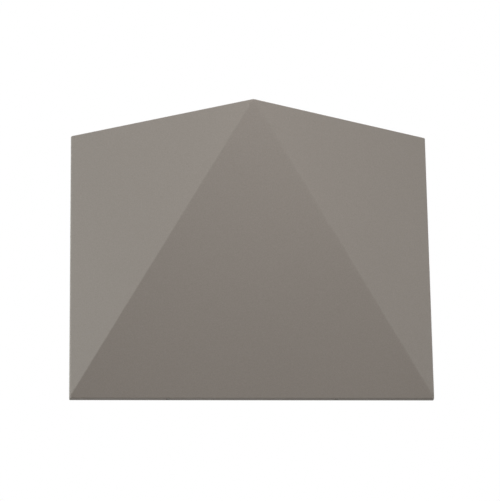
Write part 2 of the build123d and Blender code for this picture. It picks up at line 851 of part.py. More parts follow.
def supply_wires(earth_wire_end):
    """The live and neutral wires to the driver and the earth wire to its lug."""
    poles = pole_places()
    upper_drop = terminal_bottom - wire_bend_radius - wire_drop_gap
    drops = (upper_drop, upper_drop - wire_lane_pitch)
    start_level = span(terminal_middle, terminal_screw_spacing)[0] - terminal_screw_radius
    wires = []
    for pole_x, driver_x, drop in zip(poles, driver_lead_places(), drops):
        points = [
            (pole_x, wire_y, start_level),
            (pole_x, wire_y, drop),
            (driver_x, wire_y, drop),
            (driver_x, wire_y, driver_bottom + driver_shell),
        ]
        wires.append(tube_along(points, [wire_bend_radius] * 2, wire_radius))
    end_x, end_y, end_z = earth_wire_end
    earth_drop = min(upper_drop, end_z - 2 * earth_barrel_length)
    points = [
        (poles[-1], wire_y, start_level),
        (poles[-1], wire_y, upper_drop),
        (end_x, end_y, earth_drop),
        (end_x, end_y, end_z),
    ]
    wires.append(tube_along(points, earth_bend_radii, wire_radius))
    return wires


def save(name, pieces):
    """Writes one node, of one solid or several."""
    solids = pieces if isinstance(pieces, list) else [pieces]
    export_step(Compound(children=solids), f"parts/{name}.step")


def main():
    os.makedirs("parts", exist_ok=True)
    save("cover_shell", cover_shell())
    save("wall_gasket", wall_gasket())
    save("lens_glass", lens_glass())
    save("lens_gasket", lens_gasket())
    save("lens_clips", lens_clips())
    save("clip_screws", clip_screws())
    left, right = at_both_sides(fixing_screw_spacing)
    save("fixing_screw_left", fixing_screw(left))
    save("fixing_screw_right", fixing_screw(right))
    save("base_plate", base_plate())
    save("cable_grommet", cable_grommet())
    save("terminal_block", terminal_block())
    save("terminal_clamps", terminal_clamps())
    save("terminal_screws", terminal_screws())
    save("terminal_fixing_screws", ear_screws(terminal_screw_places()))
    washer, lug, screw, earth_wire_end = earth_stack()
    save("earth_washer", washer)
    save("earth_lug", lug)
    save("earth_screw", screw)
    save("driver_case", driver_case())
    save("driver_lid", driver_lid())
    save("driver_board", driver_board())
    save("driver_screws", ear_screws(driver_screw_places()))
    save("heat_sink", heat_sink())
    save("heat_sink_screws", sink_screws())
    save("thermal_pad", board_layer(thermal_pad_thickness, shelf_top))
    save("lamp_board", board_layer(board_thickness, pad_top))
    save("lamp_emitters", lamp_emitters())
    save("lamp_connector", lamp_connector())
    save("lamp_board_screws", board_screws())
    save("reflector", reflector())
    save("reflector_screws", reflector_screws())
    save("lead_grommet", lead_grommet())
    for name, wire in zip(("lamp_lead_positive", "lamp_lead_negative"), lamp_leads()):
        save(name, wire)
    for name, wire in zip(("live_wire", "neutral_wire", "earth_wire"), supply_wires(earth_wire_end)):
        save(name, wire)


main()
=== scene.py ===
import math

import bmesh
import bpy
from mathutils import Matrix, Vector


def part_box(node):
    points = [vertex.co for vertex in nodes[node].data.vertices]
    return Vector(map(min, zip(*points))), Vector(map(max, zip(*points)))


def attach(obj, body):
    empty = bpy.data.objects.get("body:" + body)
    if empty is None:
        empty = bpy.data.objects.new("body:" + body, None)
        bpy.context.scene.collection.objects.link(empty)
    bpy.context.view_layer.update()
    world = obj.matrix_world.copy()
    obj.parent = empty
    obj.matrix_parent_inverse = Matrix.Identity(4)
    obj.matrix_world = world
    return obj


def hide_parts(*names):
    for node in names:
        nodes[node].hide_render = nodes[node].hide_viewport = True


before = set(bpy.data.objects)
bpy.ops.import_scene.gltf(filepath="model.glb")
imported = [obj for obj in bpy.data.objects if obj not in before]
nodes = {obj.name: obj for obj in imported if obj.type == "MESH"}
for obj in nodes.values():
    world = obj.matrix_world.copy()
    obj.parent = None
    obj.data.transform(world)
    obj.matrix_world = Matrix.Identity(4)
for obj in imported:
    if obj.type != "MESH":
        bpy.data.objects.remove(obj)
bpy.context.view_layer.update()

# An outdoor wall light, dressed to match its photograph. Each solid keeps its shape and place and gets a
# finish whose patterns have real sizes. Most screws, the driver's lid and the lamps are replaced by pieces
# with more detail, and solder is added to the lamp board. Lengths are in metres.
MM = 0.001

# Camera of the photograph
PHOTO_HEIGHT = 501
FOCAL_PIXELS = 3000.0
SENSOR_WIDTH = 36.0
CAMERA_PLACE = Vector((-109.2, -2045.3, -720.8)) * MM
CAMERA_YAW = math.radians(-3.062)
CAMERA_PITCH = math.radians(19.728)
CAMERA_ROLL = math.radians(0.832)
CLIP_START = 0.05
CLIP_END = 200.0


def add_camera():
    """The camera stood below the light and a little to its left, with a long lens."""
    data = bpy.data.cameras.new("camera")
    data.sensor_width = SENSOR_WIDTH
    # The lens goes by the longer side of the picture, which is its height
    data.lens = SENSOR_WIDTH * FOCAL_PIXELS / PHOTO_HEIGHT
    data.clip_start = CLIP_START
    data.clip_end = CLIP_END
    camera = bpy.data.objects.new("camera", data)
    bpy.context.scene.collection.objects.link(camera)
    heading = (
        Matrix.Rotation(CAMERA_YAW, 4, "Z")
        @ Matrix.Rotation(CAMERA_PITCH, 4, "X")
        @ Matrix.Rotation(CAMERA_ROLL, 4, "Y")
    )
    upright = Matrix.Rotation(math.radians(90), 4, "X")
    camera.matrix_world = Matrix.Translation(CAMERA_PLACE) @ heading @ upright
    bpy.context.scene.camera = camera


def srgb(red, green, blue):
    """A colour from its 0 to 255 values, by the sRGB curve, as the linear values that shaders use."""
    linear = []
    for value in (red, green, blue):
        share = value / 255
        linear.append(share / 12.92 if share <= 0.04045 else ((share + 0.055) / 1.055) ** 2.4)
    return (*linear, 1.0)


# Inputs of the shader, by the words used here
SOCKETS = {
    "colour": "Base Color",
    "rough": "Roughness",
    "metal": "Metallic",
    "ior": "IOR",
    "specular": "Specular IOR Level",
    "coat": "Coat Weight",
    "coat_rough": "Coat Roughness",
    "sheen": "Sheen Weight",
    "scatter": "Subsurface Weight",
    "scatter_radius": "Subsurface Radius",
    "scatter_scale": "Subsurface Scale",
    "transmission": "Transmission Weight",
}

# Colour sockets of the mix node, by number because its other sockets have the same names
MIX_FIRST = 6
MIX_SECOND = 7
MIX_RESULT = 2

# Most values of a noise pattern lie between these
NOISE_LOW = 0.3
NOISE_HIGH = 0.7


class Finish:
    """One material. Its patterns have real sizes and stay with the piece that wears it."""

    def __init__(self, name, **fixed):
        self.name = name
        self.material = bpy.data.materials.new(name)
        self.material.use_nodes = True
        self.tree = self.material.node_tree
        self.shader = self.tree.nodes["Principled BSDF"]
        self.place = self.node("ShaderNodeTexCoord").outputs["Object"]
        self.tone = None
        self.normal = None
        for word, value in fixed.items():
            self.shader.inputs[SOCKETS[word]].default_value = value

    def node(self, kind, **settings):
        made = self.tree.nodes.new(kind)
        for name, value in settings.items():
            setattr(made, name, value)
        return made

    def put(self, socket, value):
        """Links value to the socket if it is an output, or else sets it there."""
        if isinstance(value, bpy.types.NodeSocket):
            self.tree.links.new(value, socket)
        else:
            socket.default_value = value

    def stretched(self, stretch):
        """The place on the piece, with patterns drawn out along each axis by these factors."""
        if stretch is None:
            return self.place
        mapping = self.node("ShaderNodeMapping")
        mapping.inputs["Scale"].default_value = [1 / factor for factor in stretch]
        self.put(mapping.inputs["Vector"], self.place)
        return mapping.outputs["Vector"]

    def noise(self, size, detail=2.0, rough=0.5, stretch=None, warp=0.0):
        """A cloudy pattern with patches of about this size."""
        texture = self.node("ShaderNodeTexNoise")
        self.put(texture.inputs["Vector"], self.stretched(stretch))
        texture.inputs["Scale"].default_value = 1 / size
        texture.inputs["Detail"].default_value = detail
        texture.inputs["Roughness"].default_value = rough
        texture.inputs["Distortion"].default_value = warp
        return texture.outputs["Fac"]

    def cells(self, size, feature="F1", output="Distance", stretch=None, disorder=1.0):
        """A pattern of cells of about this size, in a square grid if disorder is 0."""
        texture = self.node("ShaderNodeTexVoronoi", feature=feature)
        self.put(texture.inputs["Vector"], self.stretched(stretch))
        texture.inputs["Scale"].default_value = 1 / size
        texture.inputs["Randomness"].default_value = disorder
        return texture.outputs[output]

    def axis(self, source, letter):
        parts = self.node("ShaderNodeSeparateXYZ")
        self.put(parts.inputs["Vector"], source)
        return parts.outputs[letter]

    def level(self, source, low, high, out_low=0.0, out_high=1.0, smooth=False):
        """Stretches source from the range low to high over the range out_low to out_high."""
        ranged = self.node("ShaderNodeMapRange", interpolation_type="SMOOTHSTEP" if smooth else "LINEAR")
        self.put(ranged.inputs["Value"], source)
        ranged.inputs["From Min"].default_value = low
        ranged.inputs["From Max"].default_value = high
        ranged.inputs["To Min"].default_value = out_low
        ranged.inputs["To Max"].default_value = out_high
        return ranged.outputs["Result"]

    def spread(self, noise, low=0.0, high=1.0):
        """Stretches the usual values of a noise pattern over the range low to high."""
        return self.level(noise, NOISE_LOW, NOISE_HIGH, low, high)

    def maths(self, operation, *values):
        made = self.node("ShaderNodeMath", operation=operation)
        for socket, value in zip(made.inputs, values):
            self.put(socket, value)
        return made.outputs["Value"]

    def mixed(self, share, first, second, blend="MIX"):
        mix = self.node("ShaderNodeMix", data_type="RGBA", blend_type=blend)
        self.put(mix.inputs["Factor"], share)
        self.put(mix.inputs[MIX_FIRST], first)
        self.put(mix.inputs[MIX_SECOND], second)
        return mix.outputs[MIX_RESULT]

    def set(self, word, source):
        self.put(self.shader.inputs[SOCKETS[word]], source)

    def tint(self, share, first, second):
        """Colours the piece from the first colour to the second, and keeps the result as its tone."""
        self.tone = self.mixed(share, first, second)
        self.set("colour", self.tone)

    def roughen(self, noise, low, high):
        """Lets the roughness wander between low and high with a noise pattern."""
        self.set("rough", self.spread(noise, low, high))

    def relief(self, height, depth):
        """Adds bumps as high as depth, on top of the bumps added before."""
        bump = self.node("ShaderNodeBump")
        bump.inputs["Distance"].default_value = depth
        self.put(bump.inputs["Height"], height)
        if self.normal is not None:
            self.put(bump.inputs["Normal"], self.normal)
        self.normal = bump.outputs["Normal"]
        self.put(self.shader.inputs["Normal"], self.normal)


def cover_paint():
    """Fine-textured taupe powder coat on cast aluminium."""
    finish = Finish("cover_paint", specular=0.5)
    grain = finish.noise(0.7 * MM, detail=3, rough=0.6)
    patches = finish.noise(90 * MM, detail=1)
    finish.tint(finish.level(grain, low=0.32, high=0.68), srgb(140, 134, 127), srgb(149, 143, 136))
    shade = finish.mixed(finish.spread(patches), srgb(253, 253, 253), srgb(255, 255, 255))
    finish.set("colour", finish.mixed(1.0, finish.tone, shade, blend="MULTIPLY"))
    finish.roughen(finish.noise(9 * MM, detail=3), low=0.59, high=0.63)
    finish.relief(finish.noise(1.6 * MM), depth=0.02 * MM)
    finish.relief(grain, depth=0.025 * MM)
    return finish


def gasket_foam():
    """Closed-cell foam, with its cells open where it was cut, and painted shade darkening the hollows of the
    open cells.
    """
    finish = Finish("gasket_foam", sheen=0.15, specular=0.3)
    pores_and_shade = finish.cells(0.9 * MM)
    # Painted shade: the colour is darker towards the middle of each pore, in the hollows that the bumps sink.
    finish.tint(finish.level(pores_and_shade, low=0.15, high=0.6), srgb(96, 93, 89), srgb(122, 118, 113))
    finish.roughen(finish.noise(6 * MM), low=0.88, high=0.97)
    finish.relief(pores_and_shade, depth=0.25 * MM)
    return finish


def silicone():
    """Grey silicone seal with a soft, slightly milky surface."""
    finish = Finish("silicone", scatter=0.25, scatter_radius=(0.6, 0.6, 0.55), scatter_scale=1.5 * MM)
    cloud = finish.noise(14 * MM, detail=3)
    finish.tint(finish.spread(cloud), srgb(168, 168, 165), srgb(184, 184, 181))
    finish.roughen(finish.noise(2 * MM), low=0.42, high=0.55)
    finish.relief(finish.noise(1.2 * MM), depth=0.02 * MM)
    return finish


def frosted_glass():
    """Toughened glass, frosted by acid, with a slight green body."""
    finish = Finish("frosted_glass", ior=1.5, transmission=0.82)
    etch = finish.noise(0.25 * MM)
    cloud = finish.noise(30 * MM, detail=3)
    finish.tint(finish.spread(cloud), srgb(247, 249, 248), srgb(250, 251, 250))
    finish.roughen(etch, low=0.38, high=0.5)
    finish.relief(etch, depth=0.012 * MM)
    return finish


def brushed_metal(name, dark, bright, rough, grain, stretch, depth):
    """Metal with fine drawn-out lines and a few darker stains."""
    finish = Finish(name, metal=1.0)
    lines = finish.noise(grain, detail=3, rough=0.6, stretch=stretch)
    stains = finish.level(finish.noise(18 * MM, detail=3), low=0.55, high=0.8, out_high=0.35)
    finish.tint(stains, finish.mixed(finish.spread(lines), dark, bright), dark)
    finish.roughen(lines, *rough)
    finish.relief(lines, depth)
    return finish


def plated_steel(name, dark, bright, rough):
    """Small plated parts, a little uneven in shine."""
    finish = Finish(name, metal=1.0)
    haze = finish.noise(1.4 * MM, detail=3, rough=0.6)
    finish.tint(finish.spread(haze), dark, bright)
    finish.roughen(haze, *rough)
    finish.relief(finish.noise(0.4 * MM), depth=0.006 * MM)
    return finish


def plate_zinc():
    """Galvanised sheet with its small crystals, or spangle, and faint rolling lines."""
    finish = Finish("plate_zinc", metal=1.0)
    crystals = finish.node("ShaderNodeSeparateColor")
    finish.put(crystals.inputs["Color"], finish.cells(3.2 * MM, output="Color"))
    feather = finish.noise(0.9 * MM, detail=4, rough=0.65, warp=0.6)
    shade = finish.maths("MULTIPLY_ADD", finish.maths("SUBTRACT", feather, 0.5), 0.8, crystals.outputs["Red"])
    finish.tint(shade, srgb(168, 171, 174), srgb(180, 183, 186))
    rough = finish.level(crystals.outputs["Green"], low=0.0, high=1.0, out_low=0.38, out_high=0.46)
    finish.set("rough", rough)
    finish.relief(finish.noise(0.8 * MM, detail=3, stretch=(1, 1, 8)), depth=0.006 * MM)
    return finish


def grommet_rubber():
    """Matt black moulded rubber with a faint pale bloom."""
    finish = Finish("grommet_rubber", specular=0.35)
    bloom = finish.noise(7 * MM, detail=4, rough=0.6)
    finish.tint(finish.level(bloom, low=0.42, high=0.72), srgb(24, 24, 25), srgb(44, 44, 45))
    finish.roughen(bloom, low=0.6, high=0.78)
    finish.relief(finish.noise(0.5 * MM), depth=0.02 * MM)
    return finish


def moulded_plastic(name, dark, bright, rough):
    """Moulded plastic with a spark-eroded texture and slow changes of tone."""
    finish = Finish(name, scatter=0.08, scatter_radius=(0.9, 0.8, 0.6), scatter_scale=0.8 * MM)
    flow = finish.noise(16 * MM, warp=0.8)
    finish.tint(finish.spread(flow), dark, bright)
    finish.roughen(finish.noise(3 * MM), *rough)
    finish.relief(finish.noise(0.35 * MM), depth=0.012 * MM)
    return finish


def brass():
    """Turned brass, a little tarnished."""
    finish = Finish("brass", metal=1.0)
    tarnish = finish.noise(2.2 * MM, detail=4, rough=0.6)
    turned = finish.noise(0.25 * MM, detail=1, stretch=(12, 1, 12))
    finish.tint(finish.level(tarnish, low=0.42, high=0.72), srgb(214, 180, 112), srgb(158, 122, 66))
    finish.roughen(tarnish, low=0.24, high=0.42)
    finish.relief(turned, depth=0.005 * MM)
    return finish


def wire_cover(name, dark, bright):
    """Extruded insulation, faintly wavy along the wire."""
    finish = Finish(name, scatter=0.05, scatter_radius=(0.5, 0.5, 0.5), scatter_scale=0.4 * MM)
    wave = finish.noise(3 * MM)
    finish.tint(finish.spread(wave), dark, bright)
    finish.roughen(wave, low=0.34, high=0.44)
    finish.relief(finish.noise(0.6 * MM, detail=1), depth=0.008 * MM)
    return finish


def earth_wire_cover():
    """Green insulation with a yellow stripe along the front and the back of the wire."""
    finish = wire_cover("wire_green_yellow", srgb(20, 112, 48), srgb(28, 128, 58))
    facing = finish.node("ShaderNodeTexCoord").outputs["Normal"]
    forward_or_back = finish.maths("ABSOLUTE", finish.axis(facing, "Y"))
    stripe = finish.level(forward_or_back, low=0.66, high=0.72)
    finish.tint(stripe, srgb(232, 205, 40), finish.tone)
    return finish


def driver_board():
    """Green resist over copper tracks, which show as slightly raised, lighter lines."""
    finish = Finish("board_green", coat=0.4, coat_rough=0.18)
    tracks = finish.cells(2.2 * MM, feature="DISTANCE_TO_EDGE", disorder=0.0, stretch=(3, 1, 1))
    beside = finish.level(tracks, low=0.1, high=0.16, smooth=True)
    grain = finish.noise(0.8 * MM)
    finish.tint(beside, srgb(44, 116, 66), srgb(22, 82, 44))
    finish.roughen(grain, low=0.26, high=0.36)
    finish.relief(beside, depth=-0.02 * MM)
    finish.relief(grain, depth=0.006 * MM)
    return finish


# Copper areas of the lamp board
LAMP_PITCH = 14 * MM
BOARD_RAIL_WIDTH = 1.6 * MM
BOARD_GAP = 0.5 * MM
BOARD_GAP_SLOPE = 0.1 * MM


def lamp_board():
    """White resist over copper areas, parted by fine gaps between the lamps and along both edges."""
    finish = Finish("board_white", coat=0.4, coat_rough=0.18)
    low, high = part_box("lamp_board")
    across = finish.maths("SUBTRACT", finish.axis(finish.place, "Y"), (low.y + high.y) / 2)
    rail_start = (high.y - low.y) / 2 - BOARD_RAIL_WIDTH
    beyond_rail = finish.maths("SUBTRACT", finish.maths("ABSOLUTE", across), rail_start)
    along = finish.maths("PINGPONG", finish.axis(finish.place, "X"), LAMP_PITCH / 2)
    between = finish.maths("MAXIMUM", along, beyond_rail)
    nearest = finish.maths("MINIMUM", between, finish.maths("ABSOLUTE", beyond_rail))
    gap_edge = BOARD_GAP / 2
    copper = finish.level(nearest, low=gap_edge, high=gap_edge + BOARD_GAP_SLOPE, smooth=True)
    grain = finish.noise(0.8 * MM)
    resist = finish.mixed(finish.spread(grain), srgb(234, 234, 229), srgb(239, 239, 235))
    finish.tint(copper, srgb(205, 203, 193), resist)
    finish.roughen(grain, low=0.3, high=0.4)
    finish.relief(copper, depth=0.035 * MM)
    finish.relief(grain, depth=0.006 * MM)
    return finish


def thermal_pad():
    """Soft filled pad with the print of its woven carrier."""
    finish = Finish("pad_grey", specular=0.3)
    weave = finish.cells(0.9 * MM, disorder=0.0)
    finish.tint(finish.level(weave, low=0.2, high=0.6), srgb(172, 177, 184), srgb(186, 190, 196))
    finish.roughen(finish.noise(4 * MM), low=0.78, high=0.9)
    finish.relief(weave, depth=-0.05 * MM)
    return finish


def lamp_phosphor():
    """Yellow phosphor in silicone, slightly grainy."""
    finish = Finish("lamp_phosphor", scatter=0.2, scatter_radius=(0.9, 0.6, 0.2), scatter_scale=0.5 * MM)
    grain = finish.noise(0.2 * MM)
    finish.tint(finish.spread(grain), srgb(242, 202, 72), srgb(250, 218, 102))
    finish.roughen(grain, low=0.45, high=0.6)
    finish.relief(grain, depth=0.01 * MM)
    return finish


def lamp_dome():
    """Clear moulded silicone with a trace of warmth."""
    finish = Finish("lamp_dome", ior=1.41, transmission=1.0)
    haze = finish.noise(0.6 * MM)
    finish.tint(finish.spread(haze), srgb(252, 250, 244), srgb(255, 254, 250))
    finish.roughen(haze, low=0.03, high=0.07)
    return finish


def lamp_ceramic():
    """Fired white ceramic, fine-grained."""
    finish = Finish("lamp_ceramic", specular=0.45)
    grain = finish.noise(0.25 * MM, detail=3)
    finish.tint(finish.spread(grain), srgb(232, 231, 226), srgb(240, 239, 235))
    finish.roughen(grain, low=0.42, high=0.56)
    finish.relief(grain, depth=0.006 * MM)
    return finish


def reflector_white():
    """White enamel on pressed sheet, with a faint orange-peel surface."""
    finish = Finish("reflector_white", coat=0.3, coat_rough=0.2)
    peel = finish.noise(2.2 * MM)
    cloud = finish.noise(40 * MM)
    finish.tint(finish.spread(cloud), srgb(234, 234, 230), srgb(240, 240, 237))
    finish.roughen(peel, low=0.32, high=0.42)
    finish.relief(peel, depth=0.03 * MM)
    return finish


def clip_steel():
    """Spring steel of the glass clips, with its lines along X and Z."""
    return brushed_metal("clip_steel", srgb(176, 175, 172), srgb(206, 205, 202), rough=(0.2, 0.34),
                         grain=0.3 * MM, stretch=(40, 1, 40), depth=0.006 * MM)


def sink_aluminium():
    """Extruded aluminium, with its lines along X."""
    return brushed_metal("sink_aluminium", srgb(176, 178, 181), srgb(202, 204, 206), rough=(0.28, 0.42),
                         grain=0.35 * MM, stretch=(90, 1, 1), depth=0.012 * MM)


def all_finishes():
    """Every finish of the light, by name."""
    made = [
        cover_paint(),
        gasket_foam(),
        silicone(),
        frosted_glass(),
        clip_steel(),
        plated_steel("screw_steel", srgb(168, 172, 176), srgb(198, 202, 206), rough=(0.24, 0.38)),
        plated_steel("fixing_steel", srgb(150, 149, 146), srgb(180, 179, 176), rough=(0.2, 0.34)),
        plated_steel("lug_tin", srgb(176, 172, 164), srgb(206, 203, 196), rough=(0.3, 0.44)),
        plate_zinc(),
        grommet_rubber(),
        moulded_plastic("terminal_plastic", srgb(219, 215, 203), srgb(228, 225, 214), rough=(0.37, 0.49)),
        moulded_plastic("driver_plastic", srgb(224, 224, 221), srgb(232, 232, 230), rough=(0.4, 0.52)),
        moulded_plastic("connector_plastic", srgb(224, 220, 206), srgb(232, 229, 217), rough=(0.33, 0.45)),
        brass(),
        driver_board(),
        sink_aluminium(),
        thermal_pad(),
        lamp_board(),
        lamp_ceramic(),
        lamp_phosphor(),
        lamp_dome(),
        reflector_white(),
        wire_cover("wire_brown", srgb(78, 40, 20), srgb(92, 48, 25)),
        wire_cover("wire_blue", srgb(22, 62, 148), srgb(30, 76, 166)),
        earth_wire_cover(),
        wire_cover("wire_red", srgb(168, 20, 20), srgb(186, 28, 26)),
        wire_cover("wire_black", srgb(20, 20, 21), srgb(32, 32, 33)),
    ]
    return {finish.name: finish for finish in made}


# Finish of each node of the frame
NODE_FINISHES = {
    "cover_shell": "cover_paint",
    "wall_gasket": "gasket_foam",
    "lens_gasket": "silicone",
    "lens_glass": "frosted_glass",
    "lens_clips": "clip_steel",
    "clip_screws": "screw_steel",
    "fixing_screw_left": "fixing_steel",
    "fixing_screw_right": "fixing_steel",
    "base_plate": "plate_zinc",
    "cable_grommet": "grommet_rubber",
    "terminal_block": "terminal_plastic",
    "terminal_clamps": "brass",
    "terminal_screws": "screw_steel",
    "terminal_fixing_screws": "screw_steel",
    "earth_washer": "brass",
    "earth_lug": "lug_tin",
    "earth_screw": "brass",
    "driver_case": "driver_plastic",
    "driver_lid": "driver_plastic",
    "driver_board": "board_green",
    "driver_screws": "screw_steel",
    "heat_sink": "sink_aluminium",
    "heat_sink_screws": "screw_steel",
    "thermal_pad": "pad_grey",
    "lamp_board": "board_white",
    "lamp_emitters": "lamp_phosphor",
    "lamp_connector": "connector_plastic",
    "lamp_board_screws": "screw_steel",
    "reflector": "reflector_white",
    "reflector_screws": "screw_steel",
    "lead_grommet": "grommet_rubber",
    "lamp_lead_positive": "wire_red",
    "lamp_lead_negative": "wire_black",
    "live_wire": "wire_brown",
    "neutral_wire": "wire_blue",
    "earth_wire": "wire_green_yellow",
}


def dress_nodes(finishes):
    for node, finish in NODE_FINISHES.items():
        for material_slot in nodes[node].material_slots:
            material_slot.material = finishes[finish].material


# Detailed pieces that stand for plain solids: edges sharper than the angle stay crisp, and points closer
# than the distance are one
SHARP_ANGLE = math.radians(32)
WELD_DISTANCE = 0.001 * MM
# Points round each corner of a rounded rectangle, and the sides of its corners in X and Y
CORNER_POINTS = 8
CORNER_SIDES = ((1, 1), (-1, 1), (-1, -1), (1, -1))
# Steps from an outer corner of a cross to the inner corner beside it
CROSS_STEPS = 3
# How a piece that was built to face up is turned to face another way
FACINGS = {
    "Z": Matrix.Identity(4),
    "-Z": Matrix.Rotation(math.pi, 4, "X"),
    "-Y": Matrix.Rotation(math.pi / 2, 4, "X"),
}


def point_round(angle, radius, level):
    """The point at this angle round Z, this far from the axis and this high."""
    return Vector((radius * math.cos(angle), radius * math.sin(angle), level))


def circle(radius, level, angles):
    """A ring of points round Z."""
    return [point_round(angle, radius, level) for angle in angles]


def hexagon(width, level, angles):
    """A ring on a hexagon with this width across its flats."""
    sixth = math.tau / 6
    return [point_round(angle, width / 2 / math.cos(angle % sixth - sixth / 2), level) for angle in angles]


def cross(reach, width, level, angles):
    """A ring on the outline of a cross with bars of this reach from the middle and this width."""
    never_zero = 1e-9
    ring = []
    for angle in angles:
        along = abs(math.cos(angle)) + never_zero
        aside = abs(math.sin(angle)) + never_zero
        lengthwise_bar = min(reach / along, width / 2 / aside)
        crosswise_bar = min(width / 2 / along, reach / aside)
        ring.append(point_round(angle, max(lengthwise_bar, crosswise_bar), level))
    return ring


def cross_angles(reach, width):
    """Angles that meet every corner of the cross, with even steps between the corners."""
    corner = math.atan2(width / 2, reach)
    eighth = math.tau / 8
    steps = [0.0, corner / 2]
    for step in range(CROSS_STEPS + 1):
        steps.append(corner + (eighth - corner) * step / CROSS_STEPS)
    quarter = [*steps, *(2 * eighth - angle for angle in reversed(steps[1:-1]))]
    return [2 * eighth * number + angle for number in range(4) for angle in quarter]


def corner_angles():
    """Angles of the points round the corners of a rounded rectangle, for a circle that joins it too."""
    quarter = [step / (CORNER_POINTS - 1) for step in range(CORNER_POINTS)]
    return [math.tau / 4 * (number + share) for number in range(len(CORNER_SIDES)) for share in quarter]


def rounded_rectangle(width, depth, corner, level):
    """A ring on a rectangle with round corners."""
    ring = []
    for number, angle in enumerate(corner_angles()):
        side_x, side_y = CORNER_SIDES[number // CORNER_POINTS]
        middle = Vector((side_x * (width / 2 - corner), side_y * (depth / 2 - corner), level))
        ring.append(middle + point_round(angle, corner, 0.0))
    return ring


def loft(made, rings, place):
    """Adds a closed skin through rings of equally many points, put in place by a matrix."""
    loops = [[made.verts.new(place @ point) for point in ring] for ring in rings]
    for lower, upper in zip(loops, loops[1:]):
        for number in range(len(lower)):
            before = number - 1
            made.faces.new((lower[before], lower[number], upper[number], upper[before]))
    for loop in (loops[0], loops[-1]):
        middle = made.verts.new(sum((vertex.co for vertex in loop), Vector()) / len(loop))
        for number in range(len(loop)):
            made.faces.new((loop[number - 1], loop[number], middle))


def add_piece(name, made, finish, slot, body, *replaced):
    """Makes a piece of what was built, with its finish, on its body."""
    bmesh.ops.remove_doubles(made, verts=made.verts, dist=WELD_DISTANCE)
    bmesh.ops.recalc_face_normals(made, faces=made.faces)
    mesh = bpy.data.meshes.new(name)
    made.to_mesh(mesh)
    made.free()
    mesh.shade_smooth()
    mesh.set_sharp_from_angle(angle=SHARP_ANGLE)
    mesh.materials.append(finish.material)
    piece = bpy.data.objects.new(name, mesh)
    bpy.context.scene.collection.objects.link(piece)
    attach(piece, body)
    if replaced:
        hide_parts(*replaced)


def solids_of(name):
    """The lowest and highest corner of each separate solid of a node, from left to right."""
    made = bmesh.new()
    made.from_mesh(nodes[name].data)
    bmesh.ops.remove_doubles(made, verts=made.verts, dist=WELD_DISTANCE)
    waiting = set(made.verts)
    boxes = []
    while waiting:
        queue = [waiting.pop()]
        group = []
        while queue:
            vertex = queue.pop()
            group.append(vertex.co.copy())
            for edge in vertex.link_edges:
                other = edge.other_vert(vertex)
                if other in waiting:
                    waiting.remove(other)
                    queue.append(other)
        low = Vector([min(point[axis] for point in group) for axis in range(3)])
        high = Vector([max(point[axis] for point in group) for axis in range(3)])
        boxes.append((low, high))
    made.free()
    return sorted(boxes, key=lambda box: box[0].x)


# Socket set screws that fix the cover. The crest and flank of the thread are shares of half its pitch.
SET_SCREW_SIDES = 36
THREAD_PITCH = 0.5 * MM
THREAD_DEPTH = 0.3 * MM
THREAD_STEPS = 8
THREAD_CREST = 0.12
THREAD_FLANK = 0.72
# From the floor of the hexagon socket out: its width across flats and its height in the screw
HEX_SOCKET_RINGS = (
    (0.825 * MM, 2.0 * MM),
    (1.5 * MM, 1.7 * MM),
    (1.5 * MM, 0.1 * MM),
    (1.62 * MM, 0.0),
)
# Rim of the cup point as a share of the screw's radius, and the cup's floor and depth as shares of its rim
CUP_RIM = 0.5
CUP_FLOOR = 0.6
CUP_DEPTH = 0.4


def thread_ring(radius, level, angles, limit):
    """A ring of a screw thread, no wider than limit, which narrows it at the screw's ends."""
    ring = []
    for angle in angles:
        turn = (level / THREAD_PITCH - angle / math.tau) % 1.0
        from_crest = abs(turn - 0.5) * 2
        groove = min(max((from_crest - THREAD_CREST) / THREAD_FLANK, 0.0), 1.0)
        ring.append(point_round(angle, min(radius - THREAD_DEPTH * groove, limit), level))
    return ring


def set_screw(made, radius, length, place):
    """A set screw that points up, with its hexagon socket at level 0."""
    angles = [math.tau * side / SET_SCREW_SIDES for side in range(SET_SCREW_SIDES)]
    core = radius - THREAD_DEPTH
    rim = radius * CUP_RIM
    rings = [hexagon(width, level, angles) for width, level in HEX_SOCKET_RINGS]
    rings.append(circle(core, 0.0, angles))
    steps = round(length / THREAD_PITCH * THREAD_STEPS)
    for step in range(1, steps):
        level = length * step / steps
        limit = min(core + level, rim + length - level)
        rings.append(thread_ring(radius, level, angles, limit))
    rings.append(circle(rim, length, angles))
    rings.append(circle(rim * CUP_FLOOR, length - rim * CUP_DEPTH, angles))
    loft(made, rings, place)


def fixing_screws(finish):
    """The two set screws in the bottom of the cover, each on its own body."""
    for side in ("left", "right"):
        node = f"fixing_screw_{side}"
        low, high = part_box(node)
        place = Matrix.Translation(((low.x + high.x) / 2, (low.y + high.y) / 2, low.z))
        made = bmesh.new()
        set_screw(made, (high.x - low.x) / 2, high.z - low.z, place)
        add_piece(f"set_screw_{side}", made, finish, "fixing_steel", f"{side}_screw", node)


# Cross recess of a pan head: reach and width of its bars as shares of the head's radius
RECESS_REACH = 0.62
RECESS_WIDTH = 0.3
# From the recess's floor out: shares of that reach and width, and the height as a share of the head's
RECESS_RINGS = (
    (0.55, 0.6, 0.38),
    (1.0, 1.0, 0.99),
    (1.05, 1.12, 1.0),
)
# Round of a pan head: the height of its top, its height and its width as shares of the head's height
HEAD_TOP = 0.97
HEAD_ROUND_HEIGHT = 0.6
HEAD_ROUND_WIDTH = 0.33
HEAD_ROUND_STEPS = 5
# Below the round: distance inside the head's rim and height, also as shares of the head's height
HEAD_EDGE_RINGS = ((0.0, 0.12), (0.1, 0.0))
# Bevel at the end of the shank, as a share of its radius
SHANK_BEVEL = 0.3
# Turn of a node's first recess, and from each recess to the next
FIRST_TWIST = math.radians(17)
NEXT_TWIST = math.radians(31)

# Radii of the shank and the head, and the head's height
SMALL_SCREW = (1.45 * MM, 2.8 * MM, 2.2 * MM)
PLATE_SCREW = (1.95 * MM, 3.8 * MM, 2.6 * MM)
